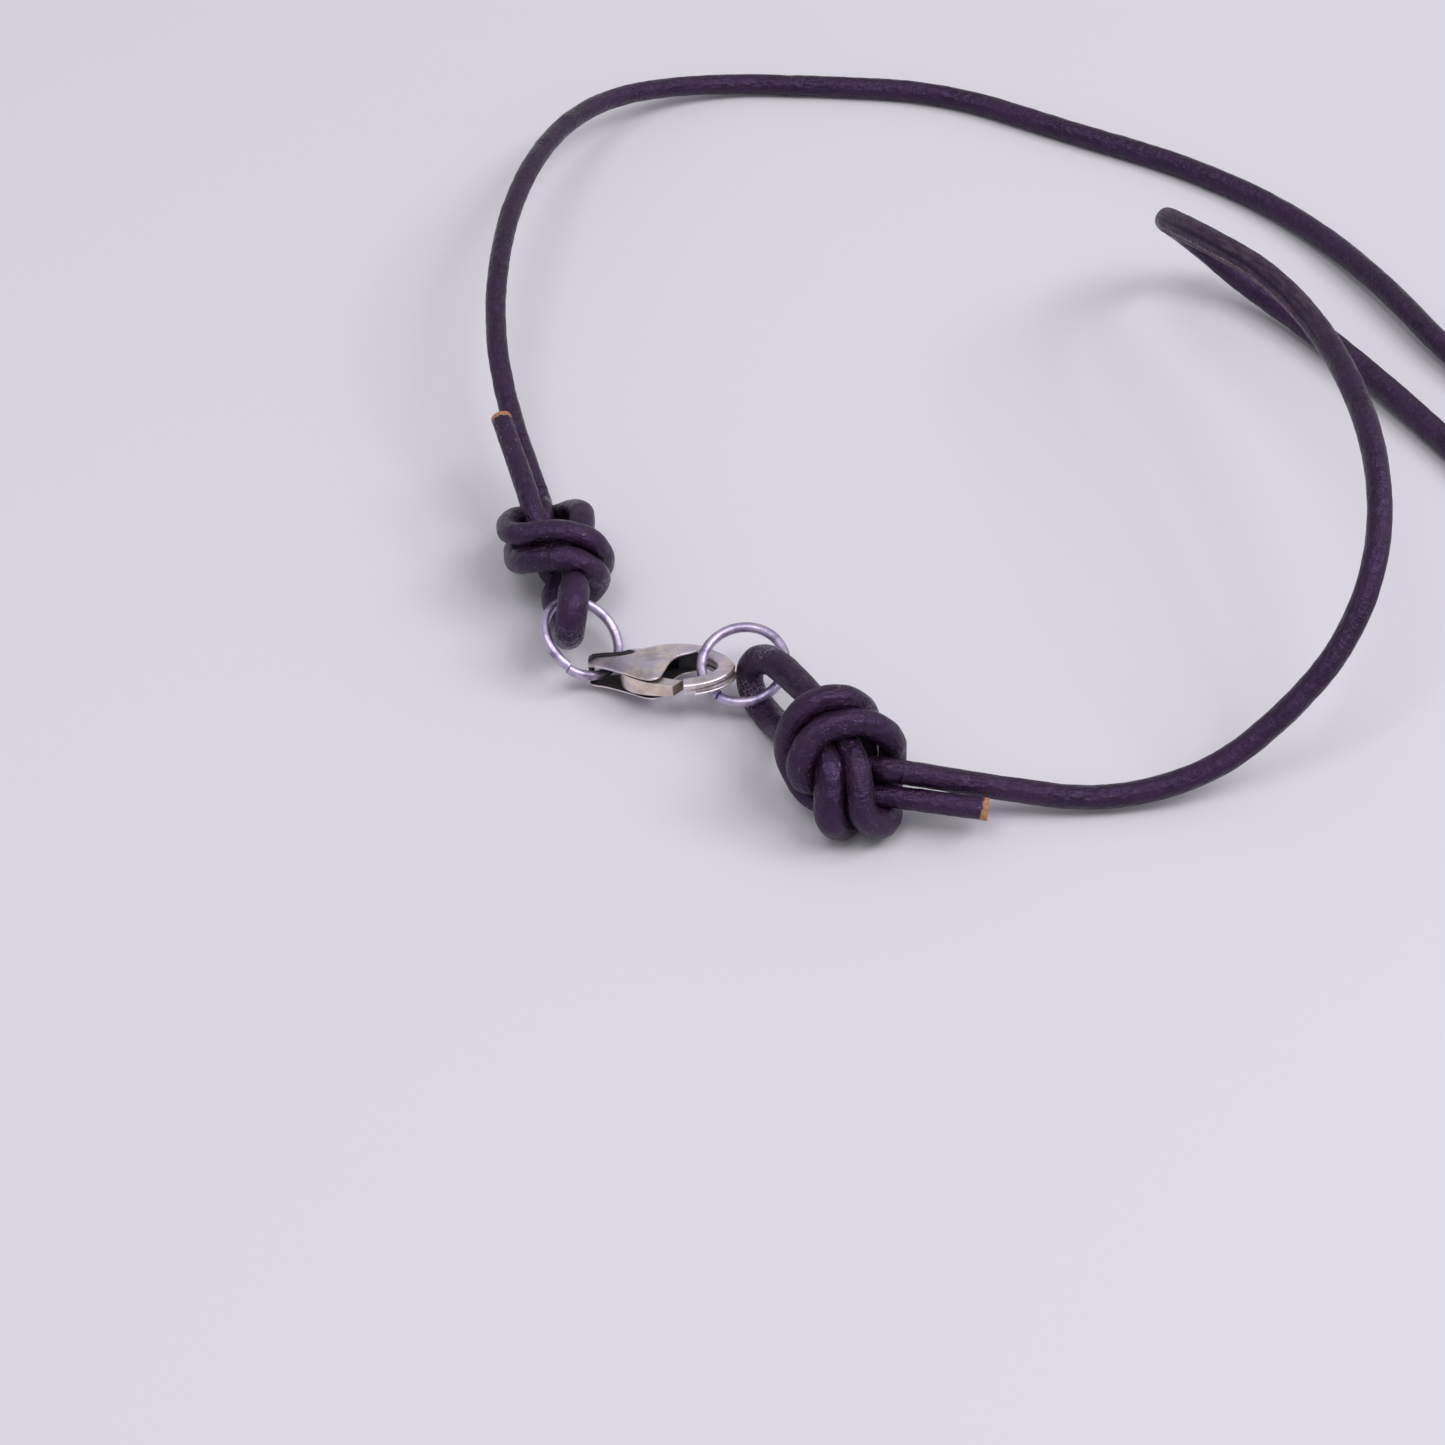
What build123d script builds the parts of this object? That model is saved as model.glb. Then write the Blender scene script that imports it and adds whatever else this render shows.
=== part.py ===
from build123d import *
import os
from math import cos, degrees, pi, radians, sin, tan

os.makedirs("parts", exist_ok=True)

# Leather cord necklace, lying open on a table with its clasp fastened.
# Millimetres. +Z is up, +X runs along the clasp toward its hook, and the front is on -Y.
# The origin is on the table, under the middle of the knots, rings and clasp.

# Driving sizes.
CORD_D = 2.0                # round leather cord
KNOT_STRAND_D = 0.9 * CORD_D            # the same cord, pulled tight inside a knot
RING_OUTER_D = 7.5          # both jump rings
RING_WIRE_D = 0.8
RING_SEAM = 0.12            # the cut where a jump ring was opened
KNOT_LEAD = 1.2             # straight end of a knot's strand, where the loose cord leaves
END_GAP = 0.05              # between the loose cord and the knot that it leaves
VIEW_TILT = 44.0            # the knots are laid out facing a viewer who looks down this much

# The clasp, in its own frame: x from tail to hook, y toward its back, z across its thickness.
CHEEK_T = 0.4               # thickness of the two flat cheeks
CHANNEL = 1.5               # open height between the cheeks
SPINE_T = 0.6               # wall along the back that joins the cheeks
HOOK_W = 1.3                # the hook's bar, seen from above
HOOK_T = 0.72               # the hook's bar, top to bottom
POST_D = 0.7                # post at the tail, which a jump ring goes round
POST_AT = (0.4, -0.68)      # middle of the post
PIVOT = (3.75, -1.0)        # the lever's rivet
RIVET_D = 0.8
RIVET_RUN = 0.03            # running clearance round the rivet, on the radius
LEVER_SIDE_GAP = 0.06       # between the lever and each cheek
LEVER_REACH = 5.3           # from the rivet to the lever's tip
TIP_GAP = 0.12              # between the lever's tip and the hook's tip
BOSS_R = 0.75               # round end of the lever, about the rivet

# Where things lie.
LOOP_LEFT_AT = (-12.31, 3.318, 5.548)   # where each knot's standing loop lies in its ring
LOOP_RIGHT_AT = (2.9, -6.873, 1.028)
CLASP_TAIL_AT = (-11.2, -1.89, 1.1)
CLASP_YAW = -10.6           # turned toward the front at the hook
CLASP_PITCH = 10.0          # the hook rides up on the ring
CLASP_ROLL = 17.0           # its front side is the higher one
RING_LEFT_AT = (-11.73, -0.52, 3.15)
RING_LEFT_LEAN = (0.69, 0.6, 1.0)       # the ring's axis: right, up and toward the viewer
RING_RIGHT_AT = (1.15, -3.9, 3.42)
RING_RIGHT_LEAN = (-0.14, 0.53, 1.0)
RING_LEFT_SEAM = 250.0      # turn of each ring's cut about its axis, from the right-hand side
RING_RIGHT_SEAM = 235.0

# The loose cord, from the left knot round to the right knot, as it lies when it is 2 mm thick.
ROUTE_CORD_D = 2.0
CORD_ROUTE = [
    (-15.8, 15.5, 4.6), (-18.2, 22.5, 6.6), (-19.9, 31.5, 8.9), (-19.7, 42.5, 9.9),
    (-18.0, 53.5, 9.2), (-15.0, 64.2, 6.9), (-10.2, 73.2, 3.8), (-2.0, 78.6, 1.2),
    (8.5, 78.5, 1.0), (20.5, 77.4, 1.0), (31.5, 71.2, 1.0), (42.5, 65.6, 1.0),
    (51.5, 57.8, 1.2), (58.0, 47.2, 1.8), (63.5, 35.5, 1.6), (74.0, 24.0, 1.0),
    (85.0, 12.0, 1.0), (92.5, -1.5, 1.0), (91.0, -15.5, 1.0), (79.0, -22.5, 1.0),
    (67.5, -15.0, 1.0), (65.5, -0.5, 1.0), (67.0, 15.5, 1.2), (57.8, 31.3, 1.4),
    (51.2, 40.9, 1.6), (45.6, 47.2, 2.2), (40.4, 49.8, 5.4), (37.3, 46.2, 10.4),
    (37.0, 39.8, 14.8), (39.6, 33.2, 17.5), (43.9, 26.2, 19.3), (47.1, 18.2, 20.3),
    (49.3, 9.5, 20.5), (50.3, 1.0, 19.6), (49.8, -6.0, 16.6), (47.2, -10.7, 11.8),
    (43.0, -13.3, 7.2), (37.3, -15.6, 2.8), (29.0, -16.9, 1.0), (20.5, -17.1, 2.8),
    (13.1, -17.6, 5.0),
]

# Each knot is one doubled overhand knot in the cord, tied with a small loop left standing.
# The strand is listed in cord diameters: right, up and toward the viewer from the knot's middle.
# The row that lies in the ring keeps its place when the cord's size changes.
LEFT_HELD = (0.82, -1.65, 1.8)
RIGHT_HELD = (-3.0, 2.02, -4.95)
LEFT_TAIL_STRAND = [
    (-2.43, 5.37, -3.5), (-1.95, 4.1, -2.4), (-1.5, 2.9, -1.45), (-1.15, 1.9, -0.75),
    (-0.9, 1.1, -0.4), (-0.65, 0.35, -0.4), (-0.3, -0.25, -0.65), (0.25, -0.65, -1.0),
    (0.95, -0.85, -1.3), (1.75, -1.0, -0.9), (2.15, -0.65, -0.05), (1.95, -0.22, 0.7),
    (1.35, 0.17, 1.24), (0.5, 0.42, 1.42), (-0.4, 0.45, 1.4), (-1.3, 0.35, 1.1),
    (-1.83, 0.45, 0.45), (-1.95, 0.75, -0.35), (-1.85, 1.0, -1.25), (-1.6, 1.1, -2.2),
    (-1.0, 1.12, -2.95), (-0.2, 1.22, -3.15), (0.45, 1.4, -2.7), (0.82, 1.42, -1.85),
    (1.0, 1.17, -0.85), (1.0, 0.6, -0.03), (0.88, 0.0, 0.4), (0.84, -0.7, 0.66),
    (0.8, -1.25, 0.8),
]
LEFT_LOOP = [
    (0.82, -1.65, 1.8), (0.82, -2.0, 2.95), (0.78, -2.65, 3.65), (0.68, -3.4, 3.4),
    (0.57, -3.75, 2.45), (0.38, -3.45, 1.4), (0.12, -2.75, 0.6), (-0.03, -2.1, 0.15),
]
LEFT_MAIN_STRAND = [
    (0.3, -1.5, -0.15), (0.95, -0.78, -0.3), (1.35, -0.12, -0.63), (1.27, 0.23, -1.4),
    (0.87, 0.35, -2.2), (0.25, 0.25, -2.8), (-0.55, 0.13, -2.87), (-1.2, 0.08, -2.5),
    (-1.62, -0.05, -1.6), (-1.65, -0.3, -0.55), (-1.47, -0.68, 0.4), (-1.0, -0.68, 1.15),
    (-0.2, -0.62, 1.55), (0.7, -0.72, 1.72), (1.55, -1.07, 1.4), (1.95, -1.4, 0.7),
    (1.72, -1.82, -0.1), (1.15, -1.92, -0.85), (0.4, -1.67, -1.45), (-0.2, -1.2, -1.7),
    (-0.5, -0.65, -1.7), (-0.57, 0.0, -1.6), (-0.6, 0.8, -1.5), (-0.7, 1.5, -1.85),
]
RIGHT_TAIL_STRAND = [
    (5.45, -1.72, 0.5), (4.0, -1.52, 0.4), (2.6, -1.34, 0.3), (1.4, -1.2, 0.15),
    (0.4, -1.28, 0.05), (-0.5, -1.42, -0.15), (-1.3, -1.22, -0.6), (-1.9, -0.35, -0.6),
    (-2.22, 0.5, -0.05), (-2.15, 1.25, 0.55), (-1.75, 1.95, 1.05), (-1.1, 2.4, 1.25),
    (-0.3, 2.55, 1.1), (0.35, 2.35, 0.6), (0.75, 1.95, -0.1), (0.85, 1.3, -0.8),
    (0.8, 0.4, -1.15), (0.75, -0.6, -1.15), (0.6, -1.45, -1.1), (0.2, -2.1, -0.7),
    (-0.25, -2.4, 0.1), (-0.6, -1.98, 0.85), (-0.68, -1.1, 1.2), (-0.68, -0.3, 1.2),
    (-0.85, 0.32, 0.75), (-1.2, 0.75, 0.0), (-1.6, 1.0, -0.9),
]
RIGHT_LOOP = [
    (-1.9, 1.15, -2.05), (-2.28, 1.33, -3.3), (-2.62, 1.6, -4.3), (-3.0, 2.02, -4.95),
    (-3.42, 2.65, -5.4), (-3.62, 3.35, -5.4), (-3.48, 3.95, -4.85), (-2.98, 4.12, -4.0),
    (-2.4, 3.82, -3.1), (-1.83, 3.27, -2.25),
]
RIGHT_MAIN_STRAND = [
    (-1.3, 2.65, -1.5), (-0.7, 1.9, -0.55), (-0.25, 1.25, 0.15), (0.15, 0.6, 0.8),
    (0.4, -0.15, 1.28), (0.5, -0.95, 1.38), (0.65, -1.75, 1.2), (1.1, -2.2, 0.6),
    (1.55, -2.1, -0.25), (1.7, -1.55, -0.9), (1.7, -0.9, -1.15), (1.8, -0.2, -1.1),
    (1.85, 0.5, -0.7), (1.75, 0.95, 0.05), (1.3, 1.35, 0.75), (0.6, 1.6, 1.2),
    (-0.2, 1.55, 1.45), (-1.05, 1.2, 1.55), (-1.6, 0.5, 1.4), (-1.72, -0.25, 1.05),
    (-1.36, -0.64, 0.5), (-0.6, -0.42, 0.0), (0.2, -0.25, 0.1), (1.1, -0.15, 0.22),
]


def facing_viewer(at):
    """Frame at a point of the part, with x right, y up and z toward the viewer."""
    tilt = radians(VIEW_TILT)
    return Plane(origin=at, x_dir=(1, 0, 0), z_dir=(0, -cos(tilt), sin(tilt)))


def tube(path, diameter):
    """Round strand along a path."""
    start = Plane(origin=path @ 0, z_dir=path % 0)
    return sweep(start * Circle(diameter / 2), path=path)


# Loose cord: straight runs joined by tangent arcs.
def bend_radii(route):
    """Largest arc at each corner that leaves the runs beside it a short straight."""
    points = [Vector(*p) for p in route]
    radii = []
    for before, corner, after in zip(points, points[1:], points[2:]):
        run_in = corner - before
        run_out = after - corner
        turn = radians(run_in.get_angle(run_out))
        radii.append(0.45 * min(run_in.length, run_out.length) / tan(turn / 2))
    return radii


def moved_with_knot(point, held_at):
    """Point near the cord's end, as many cord diameters from the knot's held loop at any cord size."""
    return tuple(Vector(*held_at) + (Vector(*point) - Vector(*held_at)) * (CORD_D / ROUTE_CORD_D))


left_end = [moved_with_knot(point, LOOP_LEFT_AT) for point in CORD_ROUTE[:2]]
right_end = [moved_with_knot(point, LOOP_RIGHT_AT) for point in CORD_ROUTE[-2:]]
cord_route = left_end + CORD_ROUTE[2:-2] + right_end
radii = bend_radii(cord_route)
cord_path = FilletPolyline(*cord_route, radius=radii)
cord_path = cord_path.trim(END_GAP / cord_path.length, 1 - END_GAP / cord_path.length)
leather_cord = tube(cord_path, CORD_D)
print("cord bends", [round(r, 1) for r in radii])
print("cord length", round(cord_path.length, 1))
print("cord volume share", round(leather_cord.volume / (cord_path.length * pi * CORD_D ** 2 / 4), 4))


# Knots: each is one strand from its cut tail, round its standing loop, to where the loose cord leaves.
def knot(at, held, strand, cord_end, cord_next):
    """Solid and path of a knot held by its loop, whose last stretch lies in line with the loose cord."""
    frame = facing_viewer(at)
    route = [frame.from_local_coords((Vector(*row) - Vector(*held)) * CORD_D) for row in strand]
    end = Vector(*cord_end)
    lead = (end - Vector(*cord_next)).normalized() * KNOT_LEAD
    route += [end + lead, end]
    route = [tuple(p) for p in route]
    path = FilletPolyline(*route, radius=bend_radii(route))
    return tube(path, KNOT_STRAND_D), path


left_strand = LEFT_TAIL_STRAND + LEFT_LOOP + LEFT_MAIN_STRAND
right_strand = RIGHT_TAIL_STRAND + RIGHT_LOOP + RIGHT_MAIN_STRAND
knot_left, left_path = knot(LOOP_LEFT_AT, LEFT_HELD, left_strand, *cord_route[:2])
knot_right, right_path = knot(LOOP_RIGHT_AT, RIGHT_HELD, right_strand, *cord_route[:-3:-1])
for name, solid, path in (("left", knot_left, left_path), ("right", knot_right, right_path)):
    volume_share = solid.volume / (path.length * pi * KNOT_STRAND_D ** 2 / 4)
    print("knot", name, "strand length", round(path.length, 1), "volume share", round(volume_share, 4))


# Jump rings: round wire, cut once and pressed shut.
def jump_ring(at, lean, seam_turn):
    """Ring whose axis is given in the viewer's frame, with its seam turned to an angle about that axis."""
    view = facing_viewer(at)
    axis = view.from_local_coords(Vector(*lean)) - Vector(*at)
    level = Plane(origin=at, x_dir=Vector(1, 0, 0) - axis * (axis.X / axis.dot(axis)), z_dir=axis)
    middle_r = (RING_OUTER_D - RING_WIRE_D) / 2
    seam_angle = degrees(RING_SEAM / middle_r)
    ring = Torus(middle_r, RING_WIRE_D / 2, major_angle=360 - seam_angle)
    return level * Rot(Z=seam_turn) * ring


ring_left = jump_ring(RING_LEFT_AT, RING_LEFT_LEAN, RING_LEFT_SEAM)
ring_right = jump_ring(RING_RIGHT_AT, RING_RIGHT_LEAN, RING_RIGHT_SEAM)

# Lobster clasp: two cheeks on a spine, a hook, a tail post and a spring lever.
CLASP = Pos(*CLASP_TAIL_AT) * Rot(Z=CLASP_YAW) * Rot(Y=-CLASP_PITCH) * Rot(X=-CLASP_ROLL)
HALF_CHANNEL = CHANNEL / 2
CHEEK_EDGE = [
    (0.05, -0.65), (0.5, -0.15), (1.4, 0.15), (2.7, 0.6), (3.8, 1.52), (5.2, 2.35), (6.6, 2.7),
    (8.0, 2.6), (8.8, 2.25), (8.95, 1.6), (8.3, 1.0), (7.5, 0.5), (7.05, -0.5), (6.95, -2.0),
    (6.85, -3.4), (6.3, -3.95), (5.4, -3.75), (4.3, -3.1), (3.1, -2.45), (1.9, -1.85), (0.8, -1.5),
    (0.15, -1.15),
]
SPINE_BACK = [(2.7, 0.57), (3.8, 1.49), (5.2, 2.32), (6.6, 2.67), (8.0, 2.57), (8.7, 2.3)]
HOOK_LINE = [
    (7.7, 2.0), (9.2, 1.95), (10.4, 1.25), (11.25, 0.2), (11.65, -1.0), (11.3, -2.2),
    (10.45, -3.05), (9.2, -3.55), (7.4, -3.95),
]

cheek = extrude(make_face(Spline(*CHEEK_EDGE, periodic=True)), CHEEK_T)
upper_cheek = Pos(0, 0, HALF_CHANNEL) * cheek
lower_cheek = Pos(0, 0, -HALF_CHANNEL - CHEEK_T) * cheek
spine_front = [(x, y - SPINE_T) for x, y in reversed(SPINE_BACK)]
spine_edge = Spline(*SPINE_BACK) + Line(SPINE_BACK[-1], spine_front[0])
spine_edge += Spline(*spine_front) + Line(spine_front[-1], SPINE_BACK[0])
spine = Pos(0, 0, -HALF_CHANNEL) * extrude(make_face(spine_edge), CHANNEL)
hook_path = Spline(*HOOK_LINE)
hook_section = Plane(origin=hook_path @ 0, x_dir=(0, 0, 1), z_dir=hook_path % 0)
hook = sweep(hook_section * Rectangle(HOOK_T, HOOK_W), path=hook_path)
swing_room = Pos(*PIVOT, 0) * Cylinder(LEVER_REACH + TIP_GAP, CHANNEL)
near_side = Pos(PIVOT[0], PIVOT[1] - HOOK_W - LEVER_REACH)
near_side *= Box(4 * LEVER_REACH, 2 * LEVER_REACH, 2 * CHANNEL)
hook -= swing_room & near_side
post = Pos(*POST_AT, 0) * Cylinder(POST_D / 2, CHANNEL)
rivet_hole = Pos(*PIVOT, 0) * Cylinder(RIVET_D / 2, CHANNEL + 2 * CHEEK_T)
clasp_body = upper_cheek + lower_cheek + spine + hook + post - rivet_hole

LEVER_EDGE = [(3.0, -1.5), (3.6, -2.4), (4.8, -3.15), (6.4, -3.8), (9.4, -4.5)]
LEVER_INNER = [(9.4, -3.3), (7.0, -2.8), (5.5, -2.0), (4.3, -0.55)]
LEVER_H = CHANNEL - 2 * LEVER_SIDE_GAP
lever_edge = Spline(*LEVER_EDGE) + Line(LEVER_EDGE[-1], LEVER_INNER[0])
lever_edge += Spline(*LEVER_INNER) + Line(LEVER_INNER[-1], LEVER_EDGE[0])
lever_arm = Pos(0, 0, -LEVER_H / 2) * extrude(make_face(lever_edge), LEVER_H)
lever_sweep = Pos(*PIVOT, 0) * Cylinder(LEVER_REACH, LEVER_H)
lever_boss = Pos(*PIVOT, 0) * Cylinder(BOSS_R, LEVER_H)
lever_bore = Pos(*PIVOT, 0) * Cylinder(RIVET_D / 2 + RIVET_RUN, LEVER_H)
clasp_lever = (lever_arm & lever_sweep) + lever_boss - lever_bore
clasp_pin = Pos(*PIVOT, 0) * Cylinder(RIVET_D / 2, CHANNEL + 2 * CHEEK_T)

solids = {
    "leather_cord": leather_cord,
    "knot_left": knot_left,
    "knot_right": knot_right,
    "ring_left": ring_left,
    "ring_right": ring_right,
    "clasp_body": CLASP * clasp_body,
    "clasp_lever": CLASP * clasp_lever,
    "clasp_pin": CLASP * clasp_pin,
}
for name, solid in solids.items():
    export_step(solid, f"parts/{name}.step")
    box = solid.bounding_box()
    print(name, "volume", round(solid.volume, 2), "box", [round(v, 2) for v in (*box.min, *box.max)])
pivot = CLASP * Pos(*PIVOT, 0)
print("lever pivot", [round(v, 3) for v in pivot.position])
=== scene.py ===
import math

import bmesh
import bpy
import numpy as np
from mathutils import Matrix, Vector


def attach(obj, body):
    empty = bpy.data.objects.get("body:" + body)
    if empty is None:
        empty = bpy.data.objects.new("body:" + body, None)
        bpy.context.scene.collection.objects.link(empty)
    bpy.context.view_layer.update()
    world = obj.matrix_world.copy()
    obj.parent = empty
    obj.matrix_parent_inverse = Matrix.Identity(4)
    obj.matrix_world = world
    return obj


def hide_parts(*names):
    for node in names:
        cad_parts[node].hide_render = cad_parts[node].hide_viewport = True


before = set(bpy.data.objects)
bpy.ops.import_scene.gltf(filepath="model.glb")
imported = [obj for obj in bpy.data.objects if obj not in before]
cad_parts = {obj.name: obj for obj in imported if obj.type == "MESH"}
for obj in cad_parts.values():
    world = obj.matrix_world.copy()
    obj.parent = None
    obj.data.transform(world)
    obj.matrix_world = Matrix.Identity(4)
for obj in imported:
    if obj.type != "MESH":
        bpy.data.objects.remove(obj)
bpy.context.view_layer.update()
scene = bpy.context.scene
MM = 0.001

# The viewpoint.
# A long lens looks down on the clasp from the front, 44 degrees above the table, with the
# knots and clasp in the middle and the far side of the loop running out on the right.
VIEW_TILT = math.radians(44)
CAMERA_AT = (-0.5 * MM, -235.75 * MM, 220.9 * MM)
camera = bpy.data.objects.new("camera", bpy.data.cameras.new("camera"))
scene.collection.objects.link(camera)
camera.data.lens = 100
camera.data.sensor_width = 36
camera.location = CAMERA_AT
camera.rotation_euler = (math.pi / 2 - VIEW_TILT, 0, 0)
scene.camera = camera
scene.view_settings.view_transform = "Standard"

# The leather cord.
# One length of round 2 mm leather, dyed through to a tan core and waxed nearly black. It leaves
# the left knot, lies round the back, turns over itself and comes down to the right knot.
CORD_D = 2.0 * MM
CORD_ROUTE = [  # x, y, z in millimetres and the cord's thickness there as a share of its size
    (-15.8, 15.5, 4.6, 0.93), (-18.2, 22.5, 6.6, 0.88), (-19.9, 31.5, 8.9, 0.86), (-19.7, 42.5, 9.9, 0.86),
    (-18.0, 53.5, 9.2, 0.87), (-15.0, 64.2, 6.9, 0.88), (-10.2, 73.2, 3.8, 0.9), (-2.0, 78.6, 1.2, 0.93),
    (8.5, 78.5, 1.0, 0.97), (20.5, 77.4, 1.0, 1.0), (31.5, 71.2, 1.0, 1.03), (42.5, 65.6, 1.0, 1.05),
    (51.5, 57.8, 1.2, 1.06), (58.0, 47.2, 1.8, 1.06), (63.5, 35.5, 1.6, 1.04), (74.0, 24.0, 1.0, 1.0),
    (85.0, 12.0, 1.0, 1.0), (92.5, -1.5, 1.0, 1.0), (91.0, -15.5, 1.0, 1.0), (79.0, -22.5, 1.0, 1.0),
    (67.5, -15.0, 1.0, 1.0), (65.5, -0.5, 1.0, 1.0), (67.0, 15.5, 1.2, 1.05), (57.8, 31.3, 1.4, 1.12),
    (51.2, 40.9, 1.6, 1.14), (45.9, 46.7, 2.1, 1.1), (41.1, 48.9, 5.3, 1.0), (38.0, 45.3, 10.2, 1.0),
    (37.4, 39.2, 14.7, 1.1), (39.7, 33.0, 17.5, 1.08), (43.9, 26.2, 19.3, 1.04), (47.1, 18.2, 20.3, 1.03),
    (49.3, 9.5, 20.5, 1.02), (50.3, 1.0, 19.6, 1.01), (49.8, -6.0, 16.6, 1.01), (47.2, -10.7, 11.8, 1.0),
    (43.0, -13.3, 7.2, 1.0), (37.3, -15.6, 2.8, 1.0), (29.0, -16.9, 1.0, 0.99), (20.5, -17.1, 2.8, 0.98),
    (13.1, -17.6, 5.0, 0.97),
]


class Tone:
    """One socket among a tree's nodes. Python's operators on it add Math nodes."""

    def __init__(self, tree, socket=None):
        self.tree = tree
        self.socket = socket

    def node(self, kind, settings=None, inputs=None, output=0):
        made = self.tree.nodes.new(kind)
        for name, value in (settings or {}).items():
            setattr(made, name, value)
        for name, value in (inputs or {}).items():
            if isinstance(value, Tone):
                self.tree.links.new(value.socket, made.inputs[name])
            else:
                made.inputs[name].default_value = value
        return Tone(self.tree, made.outputs[output])

    def math(self, operation, *values):
        return self.node("ShaderNodeMath", {"operation": operation}, dict(enumerate(values)))

    def __add__(self, other):
        return self.math("ADD", self, other)

    __radd__ = __add__

    def __sub__(self, other):
        return self.math("SUBTRACT", self, other)

    def __rsub__(self, other):
        return self.math("SUBTRACT", other, self)

    def __mul__(self, other):
        return self.math("MULTIPLY", self, other)

    __rmul__ = __mul__

    def apart(self, value):
        """How far this is from a value, either way."""
        return self.math("ABSOLUTE", self - value)

    def ramp(self, low, high):
        """0 below low, 1 above high and a soft step between."""
        settings = {"interpolation_type": "SMOOTHSTEP"}
        return self.node("ShaderNodeMapRange", settings, {0: self, 1: low, 2: high, 3: 0.0, 4: 1.0})

    def mix(self, below, above):
        """Colour below where this is 0 and above where it is 1."""
        settings = {"data_type": "RGBA", "clamp_factor": True}
        return self.node("ShaderNodeMix", settings, {0: self, 6: below, 7: above}, 2)

    def stretch(self, x, y, z):
        """This place with each axis multiplied."""
        return self.node("ShaderNodeVectorMath", {"operation": "MULTIPLY"}, {0: self, 1: (x, y, z)})

    def noise(self, scale, detail=3.0, roughness=0.5, distortion=0.0):
        inputs = {
            "Vector": self, "Scale": scale, "Detail": detail,
            "Roughness": roughness, "Distortion": distortion,
        }
        return self.node("ShaderNodeTexNoise", {}, inputs, "Fac")

    def cells(self, scale, feature="F1"):
        inputs = {"Vector": self, "Scale": scale}
        return self.node("ShaderNodeTexVoronoi", {"feature": feature}, inputs, "Distance")

    def bump(self, strength, depth):
        inputs = {"Strength": strength, "Distance": depth, "Height": self}
        return self.node("ShaderNodeBump", {}, inputs)


def shader(name, constants):
    """New material with its Principled sockets set, and a Tone to build its nodes from."""
    material = bpy.data.materials.new(name)
    material.use_nodes = True
    surface = material.node_tree.nodes["Principled BSDF"]
    for socket, value in constants.items():
        surface.inputs[socket].default_value = value
    return material, Tone(material.node_tree)


def feed(material, links):
    """Link Tones to the sockets of a material's Principled shader."""
    surface = material.node_tree.nodes["Principled BSDF"]
    for socket, tone in links.items():
        material.node_tree.links.new(tone.socket, surface.inputs[socket])


WAXED = ((0.008, 0.0026, 0.0055, 1), (0.018, 0.0062, 0.018, 1))         # darkest and lightest patches
FIBRE = (0.036, 0.0155, 0.042, 1)
# Pale scuffed specks: worn leather, coloured violet as a painted sheen too.
SCUFF_AND_SHEEN = (0.32, 0.26, 0.38, 1)
CRACKED = (0.36, 0.3, 0.4, 1)
CUT_TAN = ((0.16, 0.06, 0.022, 1), (0.6, 0.3, 0.13, 1))
CUT_REACH = (0.00042, 0.00056)          # metres from a cut end over which its tan core gives way
# Painted light: a brownish-grey for the lit top of the cord's turned tip.
FOLD_LIT_TONE = (0.072, 0.048, 0.05, 1)
# Painted shade: near black in the groove along the fold.
FOLD_GROOVE_SHADE = (0.006, 0.003, 0.005, 1)
FOLD_EDGE = (0.34, 0.26, 0.24, 1)
FOLD_FROM = 0.323           # metres along the cord, past its turned tip, between which it is pinched
FOLD_TO = 0.357
FOLD_TURN = 1.45            # where round the cord its groove lies, and its pale edge, in radians
PALE_TURN = 2.22


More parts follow.
